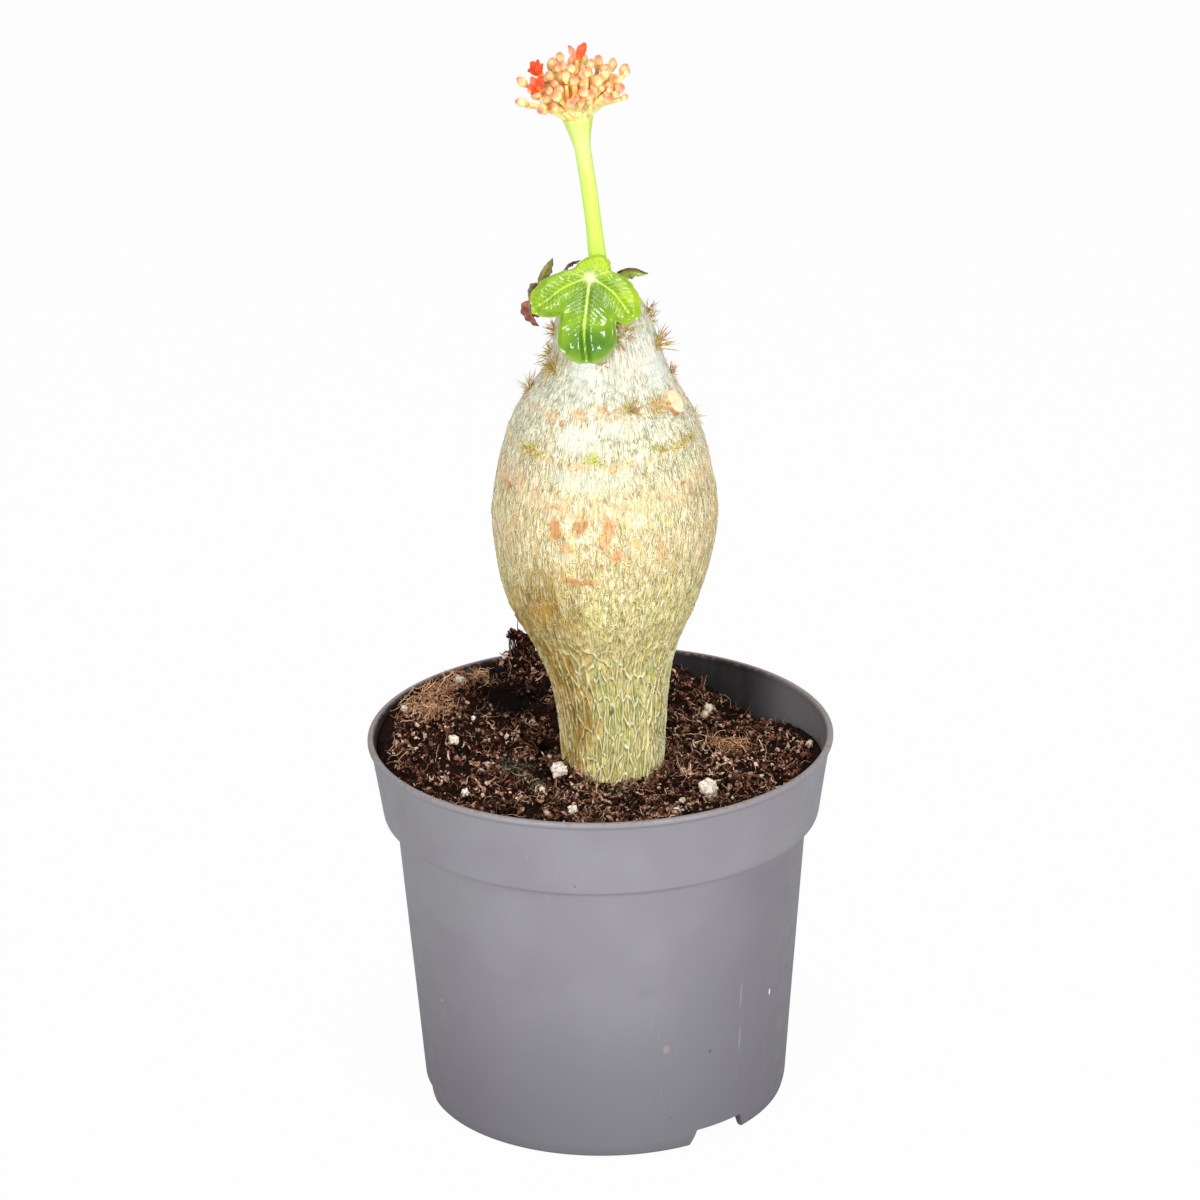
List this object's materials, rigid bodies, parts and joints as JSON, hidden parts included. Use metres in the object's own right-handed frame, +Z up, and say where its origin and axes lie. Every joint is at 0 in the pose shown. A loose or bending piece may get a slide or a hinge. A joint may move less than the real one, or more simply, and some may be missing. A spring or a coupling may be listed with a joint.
{
  "type": "potted jatropha plant",
  "caption": "Bottle-stem jatropha in a tapered grey nursery pot: swollen netted stem, glossy leaf, young leaves and an orange-red flower head on a green stalk.",
  "frame": {"origin": "centre of the pot's foot, on the surface it stands on", "axes": "+Z up through the pot's axis, -Y towards the plant's front, +X to its right"},
  "size_m": [0.12, 0.12, 0.2813],
  "materials": {
    "pot_plastic": "satin grey moulded polypropylene, light dust and scratches",
    "soil_peat": "loose fibrous peat and coir, matte, stands in for soil",
    "stem_bark": "pale netted bark over green, satin",
    "stalk_green": "living lime green stalk, soft satin",
    "ray_orange": "fleshy orange-yellow flower rays, satin",
    "bud_cream": "closed buds, cream with pink tips, satin",
    "petal_red": "thin orange-red petals, matte",
    "leaf_green": "glossy living leaf",
    "leaf_young": "wine-brown young leaf, satin",
    "stipule_brown": "dry spiny stipules, brown with green feet",
    "stub_buff": "dried cut face of a leaf stalk",
    "perlite_white": "chalky expanded perlite"
  },
  "bodies": {
    "root": {"pot": "pot_plastic", "soil": "soil_peat", "swollen_stem": "stem_bark", "flower_stalk": "stalk_green", "main_petiole": "stalk_green", "main_leaf": "leaf_green", "young_leaf_left": "leaf_young", "young_leaf_right": "leaf_young", "young_leaf_back": "leaf_young", "petiole_stub": "stub_buff", "ray_1": "ray_orange", "ray_2": "ray_orange", "ray_3": "ray_orange", "ray_4": "ray_orange", "ray_5": "ray_orange", "ray_6": "ray_orange", "ray_7": "ray_orange", "ray_8": "ray_orange", "bud_1": "bud_cream", "bud_2": "bud_cream", "bud_3": "bud_cream", "bud_4": "bud_cream", "bud_5": "bud_cream", "bud_6": "bud_cream", "bud_7": "bud_cream", "bud_8": "bud_cream", "bud_9": "bud_cream", "bud_10": "bud_cream", "bud_11": "bud_cream", "bud_12": "bud_cream", "bud_13": "bud_cream", "bud_14": "bud_cream", "bud_15": "bud_cream", "bud_16": "bud_cream", "bud_17": "bud_cream", "bud_18": "bud_cream", "bud_19": "bud_cream", "bud_20": "bud_cream", "bud_21": "bud_cream", "flower_1": "petal_red", "flower_2": "petal_red", "flower_3": "petal_red", "stipule_tuft_1": "stipule_brown", "stipule_tuft_2": "stipule_brown", "stipule_tuft_3": "stipule_brown", "stipule_tuft_4": "stipule_brown", "stipule_tuft_5": "stipule_brown", "stipule_tuft_6": "stipule_brown", "stipule_tuft_7": "stipule_brown", "stipule_tuft_8": "stipule_brown", "stipule_tuft_9": "stipule_brown", "stipule_tuft_10": "stipule_brown", "stipule_tuft_11": "stipule_brown", "perlite_1": "perlite_white", "perlite_2": "perlite_white", "perlite_3": "perlite_white", "perlite_4": "perlite_white", "perlite_5": "perlite_white", "perlite_6": "perlite_white", "perlite_7": "perlite_white"}
  },
  "joints": []
}
